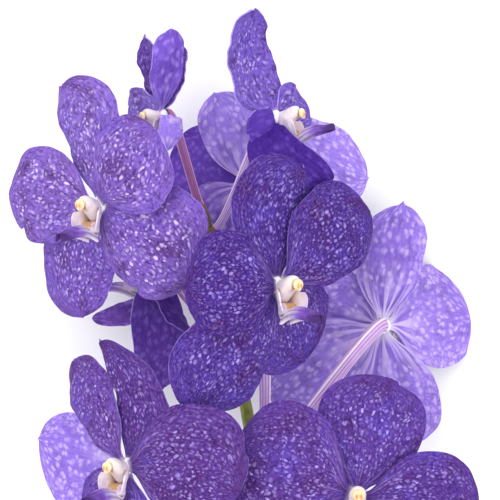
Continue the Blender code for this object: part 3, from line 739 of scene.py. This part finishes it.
cell = times(tree, spread(tree, net, 0.02, 0.34), spread(tree, margin, 0.0, 1.0, 0.12, 0.75),
             spread(tree, share, 0.12, 0.5), soft)
colour = mixed(tree, cell, colour, lit)
colour = laid(tree, colour, dim, net, 0.12, 0.0, 0.16)
chance = add(tree, "SeparateColor", spots.outputs["Color"])
dot = times(tree, spread(tree, spots.outputs["Distance"], 0.52, 0.06),
            spread(tree, chance.outputs[0], 0.05, 0.7, 0.35, 1.0), spread(tree, share, 0.16, 0.34), soft)
colour = mixed(tree, dot, colour, mixed(tree, glow, (0.38, 0.24, 0.85), (0.80, 0.72, 1.0)))
colour = mixed(tree, times(tree, spread(tree, hatch, 0.50, 0.74), soft, 0.30), colour, lit)
colour = laid(tree, colour, dim, hatch, 0.45, 0.28, 0.35)
colour = laid(tree, colour, lit, grain, 0.35, 0.75, 0.18)
# White rays and dark veins fan out of the root of the paler blades.
fan = fanned(tree, 3.4, 0.9)
light = spread(tree, pale, 0.30, 0.75)
ray = times(tree, spread(tree, fan, 0.42, 0.60), spread(tree, share, 0.55, 0.06, 0.0, 0.85), light)
colour = mixed(tree, ray, colour, (0.88, 0.83, 0.96))
vein = times(tree, spread(tree, fan, 0.44, 0.34), spread(tree, share, 0.60, 0.10, 0.0, 0.55), light)
colour = mixed(tree, vein, colour, dim)
colour = mixed(tree, 1.0, colour, (0.74, 0.64, 0.82), "MULTIPLY")
colour = mixed(tree, times(tree, spread(tree, share, 0.15, 0.0, 0.0, 0.9), light), colour, (0.74, 0.68, 0.80))
finished(tree, colour, hatch, 0.00025, 0.5)

rim_skin, tree = blade_material("pale blade edge", 0.55)
grain = cloudy(tree, add(tree, "UVMap", uv_map="blade"), 6.0, 2.0)
pale_edge = times(tree, spread(tree, grain, 0.3, 0.7, 0.25, 0.55),
                  spread(tree, own(tree, "pale"), -0.1, 0.5, 0.5, 1.0))
finished(tree, mixed(tree, pale_edge, tepal_colours(tree), (0.56, 0.48, 0.96)))

hub_skin, tree = new_material("whitish receptacle", 0.5, 0.2, (1.0, 0.8, 0.7))
finished(tree, toned(tree, grained(tree, 320.0, 3.0), (0.64, 0.55, 0.68), (0.46, 0.33, 0.58)))

HUB_RADIUS, HUB_FRONT = 3.4, 1.8  # the receptacle's half width, and how far it reaches forwards
HUB_SLOT = 3  # the place of its skin among the blades' materials


def placed(thing, bloom):
    """Moves a piece from the flower's own right, up and forward to its place, at the flower's size."""
    right, up, forward, hub = frame_of(bloom)
    for vert in thing.data.vertices:
        point = vert.co * bloom["size"]
        vert.co = hub + right * point.x + up * point.y + forward * point.z
    return thing


for letter, bloom in BLOOMS.items():
    blades = [tepal(letter, number, bloom, shape) for number, shape in enumerate(BLADES[letter])]
    receptacle = started("receptacle", bpy.ops.mesh.primitive_uv_sphere_add, segments=24, ring_count=12,
                         radius=HUB_RADIUS)
    receptacle.data.uv_layers.active.name = "blade"
    for vert in receptacle.data.vertices:
        vert.co.z *= (HUB_FRONT if vert.co.z > 0 else HUB_BACK) / HUB_RADIUS
    for polygon in receptacle.data.polygons:
        polygon.material_index = HUB_SLOT
    placed(receptacle, bloom)
    blades = joined(f"blades_of_bloom_{letter}", blades + [receptacle])
    settled(blades, "tepal", None, f"bloom_{letter}_tepals")

# Columns
# The thick white body over each flower's middle that pistil and stamen grew together into, with a
# foot below it that the lip hangs from. Cream at its front; lilac at its sides and towards its foot,
# partly its own pink-violet tint near the base and partly painted shade on its flanks.
# Its rings: forward place, height of the middle, half height and half width.
COLUMN_RINGS = ((1.0, -2.2, 4.4, 2.5), (2.1, -2.4, 4.9, 2.9), (4.2, -2.2, 5.0, 3.2), (6.0, -0.4, 4.0, 3.4),
                (8.0, 0.8, 3.3, 3.3), (9.6, 1.0, 2.8, 2.9), (10.4, 1.0, 2.0, 2.1))
COLUMN_FOOT = -7.2
STIGMA_FROM, STIGMA_DEPTH = 6.0, 1.6  # the hollow under the beak: where it begins, and its depth
BODY_SIDES = 16


def grown(name, rings):
    """A body pulled out of a disc ring by ring along z; each ring has its x and y middle and half sizes."""
    z, x, y, half_x, half_y = rings[0]
    thing = started(name, bpy.ops.mesh.primitive_circle_add, vertices=BODY_SIDES, radius=1,
                    fill_type="NGON", location=(x, y, z))
    bpy.ops.object.transform_apply(location=True, rotation=False, scale=False)
    bpy.ops.object.mode_set(mode="EDIT")
    bpy.ops.mesh.select_mode(type="FACE")
    bpy.ops.mesh.select_all(action="SELECT")
    bpy.ops.transform.resize(value=(half_x, half_y, 1), center_override=(x, y, z))
    for step in rings[1:]:
        move = (step[1] - x, step[2] - y, step[0] - z)
        bpy.ops.mesh.extrude_region_move(TRANSFORM_OT_translate={"value": move})
        bpy.ops.transform.resize(value=(step[3] / half_x, step[4] / half_y, 1),
                                 center_override=(step[1], step[2], step[0]))
        z, x, y, half_x, half_y = step
    bpy.ops.mesh.select_all(action="SELECT")
    bpy.ops.mesh.normals_make_consistent(inside=False)
    bpy.ops.object.mode_set(mode="OBJECT")
    return thing


def rounded(thing):
    return modified(thing, "SUBSURF", levels=2, render_levels=2)


def carry(thing, fact, value_at):
    """Stores a value on each point, from its place in the flower's own frame."""
    stored(thing, fact, [value_at(vert.co) for vert in thing.data.vertices])


def copied(master, name):
    """A copy of a piece with a mesh of its own."""
    thing = master.copy()
    thing.data = master.data.copy()
    thing.name = name
    bpy.context.scene.collection.objects.link(thing)
    return thing


def dealt(master, word, slot, skin):
    """Gives every flower its own copy of a piece, and takes the master away."""
    for letter, bloom in BLOOMS.items():
        piece = placed(copied(master, f"{word}_of_bloom_{letter}"), bloom)
        settled(piece, slot, skin, f"bloom_{letter}_{slot}")
    bpy.data.objects.remove(master)


column_skin, tree = new_material("waxy white column", 0.42, 0.3, (1.0, 0.75, 0.6), 0.0012, 0.15)
mottle = grained(tree, 420.0, 3.0)
colour = toned(tree, mottle, (0.78, 0.71, 0.70), (0.70, 0.59, 0.67))
for fact, shade in (("lilac_and_shade", (0.52, 0.38, 0.62)), ("cream", (0.80, 0.68, 0.44)),
                    ("rust", (0.42, 0.20, 0.06))):
    colour = mixed(tree, own(tree, fact), colour, shade)
finished(tree, colour, mottle, 0.0001, 0.4)

column = rounded(grown("column master", [(z, 0, middle, half_width, half_height)
                                         for z, middle, half_height, half_width in COLUMN_RINGS]))
for vert in column.data.vertices:
    if vert.co.z > STIGMA_FROM:
        vert.co.z -= STIGMA_DEPTH * hill(vert.co.y + 0.6, 1.5) * hill(vert.co.x, 1.3)
    vert.co.y = max(vert.co.y, COLUMN_FOOT)
carry(column, "cream", lambda p: 0.35 * ramp(p.z, 7.5, 3.0))
# Lilac at the flanks and low down: a pink-violet tint near the base, with painted shade on the sides.
carry(column, "lilac_and_shade", lambda p: 0.7 * ramp(p.z, 5.0, -3.5) * ramp(abs(p.x), 1.0, 1.6))
carry(column, "rust", lambda p: 0.9 * hill(p.y + 1.0, 1.3) * hill(p.x, 1.2) if p.z > 5 else 0.0)
dealt(column, "column", "column", column_skin)

# Anther caps
# The small lid on the column's end over the pollen: two cream swellings with a groove between
# them, orange where the pollen shows through.
CAP_RADIUS = 2.45
CAP_FLATNESS = (0.96, 0.88, 0.55)  # across, upwards and forward
CAP_UP, CAP_FORWARD = 0.4, 11.35  # its middle, from the flower's
GROOVE_DEPTH, BEAK = 0.55, 0.5  # the groove between its halves, and the small beak below

cap_skin, tree = new_material("cream and orange cap", 0.42, 0.3, (1.0, 0.6, 0.3), specular=0.2)
colour = toned(tree, grained(tree, 700.0, 2.0), (0.84, 0.74, 0.50), (0.80, 0.62, 0.34))
finished(tree, mixed(tree, own(tree, "orange"), colour, (0.58, 0.20, 0.015)))

cap = started("cap master", bpy.ops.mesh.primitive_uv_sphere_add, segments=28, ring_count=20,
              radius=CAP_RADIUS)
for vert in cap.data.vertices:
    x, y, z = vert.co
    beak = hill(x, 0.9) * hill(y + 2.0, 0.9)
    groove = GROOVE_DEPTH * hill(x, 0.5) * (1 - beak) if z > 0 else 0.0
    vert.co = (x * CAP_FLATNESS[0], CAP_UP + y * CAP_FLATNESS[1] - BEAK * beak,
               CAP_FORWARD + z * CAP_FLATNESS[2] - groove + BEAK * beak)
carry(cap, "orange",
      lambda p: 0.95 * ramp(p.z, 11.2, 0.8) * hill(abs(p.x) - 0.8, 0.65) * hill(p.y + 0.2, 1.1))
dealt(cap, "cap", "anther_cap", cap_skin)

# Lips
# The third petal, made into a landing place: a white sac under the column's foot, two upright white
# lobes beside it with an ochre throat between, and a keeled violet tongue that ends dark and notched.
# A painted shadow darkens the sac where the tongue leaves it, and painted shade darkens the lobes' inner
# sides.
# The sac's rings: height, middle across and forward, and half sizes across and forward.
SAC_RINGS = ((-6.4, 0, 5.8, 3.6, 2.0), (-7.5, 0, 6.0, 3.9, 3.2), (-9.0, 0, 6.0, 3.6, 3.9),
             (-11.0, 0, 5.6, 3.2, 3.5), (-12.6, 0, 4.8, 2.1, 2.3), (-13.4, 0, 4.2, 0.9, 1.0))
TONGUE_THICKNESS = 1.0
TONGUE_ROOT, TONGUE_LENGTH = 5.0, 19.5  # how far forward it starts, and its length
TONGUE_HEIGHT = -10.2
LIFT_FROM = 7.0  # where a tongue that rises starts to
LOBE_THICKNESS = 0.7
LOBE_ROOT, LOBE_TALL = -9.8, 7.5  # the height that a side lobe stands on, and how tall it is
LOBE_MIDDLE = 6.6  # how far forward its middle is
LOBE_SPREAD = 0.62  # how far it turns outwards to the front

lip_skin, tree = new_material("lip flesh", 0.5, 0.2, (0.9, 0.5, 1.0), specular=0.12)
mottle = grained(tree, 450.0, 3.0)
white = toned(tree, mottle, (0.78, 0.71, 0.70), (0.68, 0.55, 0.72))
violet = toned(tree, mottle, (0.24, 0.12, 0.56), (0.15, 0.06, 0.38))
colour = mixed(tree, own(tree, "violet"), white, violet)
# The dark coat is both the tongue's own dark end and painted shade: a shadow low on the sac, and shade on the
# lobes' inner sides.
for fact, shade in (("stripe", (0.06, 0.012, 0.15)), ("white", (0.76, 0.68, 0.82)),
                    ("ochre", (0.42, 0.21, 0.05)), ("dark_and_shade", (0.035, 0.012, 0.085))):
    colour = mixed(tree, own(tree, fact), colour, shade)
finished(tree, colour, mottle, 0.0001, 0.4)

# The sac is pulled downwards out of a disc, so its rings are made along z and then turned.
sac = rounded(grown("sac", SAC_RINGS))
for vert in sac.data.vertices:
    vert.co = vert.co.xzy
sac.data.flip_normals()
carry(sac, "violet", lambda p: 0.05 + 0.12 * ramp(p.y, -9.0, -5.0))
carry(sac, "ochre", lambda p: 0.9 * ramp(p.y, -9.6, 1.2) * (1 if abs(p.x) < 2.6 else 0.3))
# Painted shadow: a dark band low on the sac, in the crease where the tongue leaves it.
carry(sac, "dark_and_shade", lambda p: 0.85 * hill(p.y + 11.4, 0.55) * hill(p.z - 6.0, 2.4))


def tongue_half(step):
    return 2.6 + 2.4 * math.sin(math.pi * min(1.0, step * 1.05) ** 1.3)


tongue = blade_grid("tongue", 32, 44)
for vert in tongue.data.vertices:
    across, step = vert.co.x, (vert.co.y + 1) / 2
    reach = abs(across)
    half_width = tongue_half(step) * math.sqrt(max(0.1, 1 - 0.75 * ramp(step, 0.9, 0.1) ** 2))
    height = TONGUE_HEIGHT + 1.8 * math.sin(math.pi * step) - 1.6 * step * step
    height -= 4.5 * across * across * (1 - 0.5 * step)
    keels = hill(across, 0.13) + 0.8 * hill(reach - 0.38, 0.1) + 0.5 * hill(reach - 0.68, 0.1)
    height += 0.75 * keels * (1 - step ** 2) * min(1.0, step * 6 + 0.4)
    # The two dark lobes at the end swell and turn up, on both sides of a notch.
    height += 1.3 * ramp(step, 0.82, 0.18) ** 1.5 * hill(reach - 0.6, 0.3)
    forward = TONGUE_ROOT + TONGUE_LENGTH * step - 3.0 * step ** 4 * hill(across, 0.32)
    vert.co = Vector((across * half_width, height, forward))
tongue.data.flip_normals()


def keel_wave(p):
    """1 along the tongue's keels, -1 between them."""
    half_width = tongue_half(ramp(p.z, TONGUE_ROOT, TONGUE_LENGTH))
    return math.cos(6 * math.pi * max(-1.0, min(1.0, p.x / half_width)))


carry(tongue, "violet", lambda p: ramp(p.z, 7.5, 9.0))
carry(tongue, "stripe", lambda p: 0.85 * max(0.0, -keel_wave(p)) ** 2 * max(0.0, 1 - (p.z - 6) / 16))
carry(tongue, "white", lambda p: 0.9 * max(0.0, keel_wave(p)) ** 3 * max(0.0, 1 - (p.z - 5) / 13))
carry(tongue, "dark_and_shade", lambda p: 0.9 * ramp(p.z, 15.0, 8.0) ** 1.2)
thickened(tongue, TONGUE_THICKNESS)


def lobe_place(step, across):
    """A side lobe's middle layer: broad and tall at the column's flank, round at its free front."""
    half = 2.8 if across < 0 else 2.6 * math.sqrt(max(0.02, 1 - (step * 0.97) ** 2.6)) + 0.4
    behind = max(0.0, -across)
    out = 4.1 + 1.9 * step + across * half * LOBE_SPREAD - 0.9 * behind * step
    out += 0.35 * math.sin(math.pi * step) - 0.2 * across * across
    return out, LOBE_ROOT + LOBE_TALL * step + 1.2 * step * behind, LOBE_MIDDLE + across * half


def lobe_inside(p):
    """1 on the side of a lobe that looks at the throat, 0 on its outer side."""
    across = max(-1.0, min(1.0, (p.z - LOBE_MIDDLE) / 2.8))
    return 1.0 if abs(p.x) < lobe_place(ramp(p.y, LOBE_ROOT, LOBE_TALL), across)[0] else 0.0


def lobe_ochre(p):
    return lobe_inside(p) * (0.10 + 0.75 * ramp(p.z, 6.6, -2.2)) * ramp(p.z, 9.0, -1.6)


lobes = []
for side in (-1, 1):
    lobe = blade_grid("lobe", 16, 18)
    for vert in lobe.data.vertices:
        out, height, forward = lobe_place((vert.co.y + 1) / 2, vert.co.x)
        vert.co = Vector((side * out, height, forward))
    thickened(lobe, LOBE_THICKNESS)
    carry(lobe, "violet", lambda p: 0.05 + 0.30 * ramp(p.z, 7.0, 3.0) * ramp(p.y, -4.0, -4.0))
    carry(lobe, "ochre", lobe_ochre)
    # Painted shade on each lobe's inner side, deepening back towards the column, in the throat.
    carry(lobe, "dark_and_shade", lambda p: lobe_inside(p) * 0.45 * ramp(p.z, 5.4, -1.4))
    lobes.append(lobe)
lip = joined("lip master", [sac, tongue] + lobes)
for letter, bloom in BLOOMS.items():
    own_lip = copied(lip, f"lip_of_bloom_{letter}")
    for vert in own_lip.data.vertices:
        rise = max(0.0, (vert.co.z - LIFT_FROM) / (TONGUE_ROOT + TONGUE_LENGTH - LIFT_FROM))
        vert.co.y += bloom.get("lift", 0.0) * rise
    settled(placed(own_lip, bloom), "lip", lip_skin, f"bloom_{letter}_lip")
bpy.data.objects.remove(lip)

# The table
# A plain pale surface that the cut stem lies on. It is matt and all but white, and so wide that it
# fills the frame.
table = started("pale_table", bpy.ops.mesh.primitive_plane_add, size=6.0)
table_paint, tree = new_material("pale table", 0.7)
finished(tree, mixed(tree, grained(tree, 40.0, 3.0), (0.945, 0.945, 0.95), (0.965, 0.965, 0.965)))
table.data.materials.append(table_paint)

# Light and camera
# Soft light from two large lamps above and from a bright room all round, and a camera that looks
# straight down on the flowers, as the photograph looks at them.
world = bpy.data.worlds.new("bright room")
bpy.context.scene.world = world
world.use_nodes = True
walls = world.node_tree.nodes["Background"]
walls.inputs["Color"].default_value = (1.0, 1.0, 1.0, 1.0)
walls.inputs["Strength"].default_value = 1.14


def lamp(name, place, aim, size, power):
    light = bpy.data.lights.new(name, "AREA")
    light.shape = "DISK"
    light.size = size
    light.energy = power
    thing = bpy.data.objects.new(name, light)
    thing.location = place
    thing.rotation_euler = (Vector(aim) - Vector(place)).to_track_quat("-Z", "Y").to_euler()
    bpy.context.scene.collection.objects.link(thing)


lamp("key lamp", (-0.7, 0.9, 1.6), (0, 0.1, 0), 1.6, 14)
lamp("fill lamp", (0.9, -0.3, 1.7), (0, 0.1, 0), 1.6, 11)
bpy.context.scene.view_settings.view_transform = "Standard"

CAMERA_HEIGHT = 0.98
FLOWER_HEIGHT = 0.08  # of most of the flowers above the table
FRAME_WIDTH = 0.200  # what the camera sees there
camera = bpy.data.cameras.new("camera")
camera.sensor_width = 36.0
camera.lens = camera.sensor_width * (CAMERA_HEIGHT - FLOWER_HEIGHT) / FRAME_WIDTH
camera_stand = bpy.data.objects.new("camera", camera)
camera_stand.location = (-LAYOUT_MIDDLE.x * MM, -LAYOUT_MIDDLE.y * MM, CAMERA_HEIGHT)
bpy.context.scene.collection.objects.link(camera_stand)
bpy.context.scene.camera = camera_stand
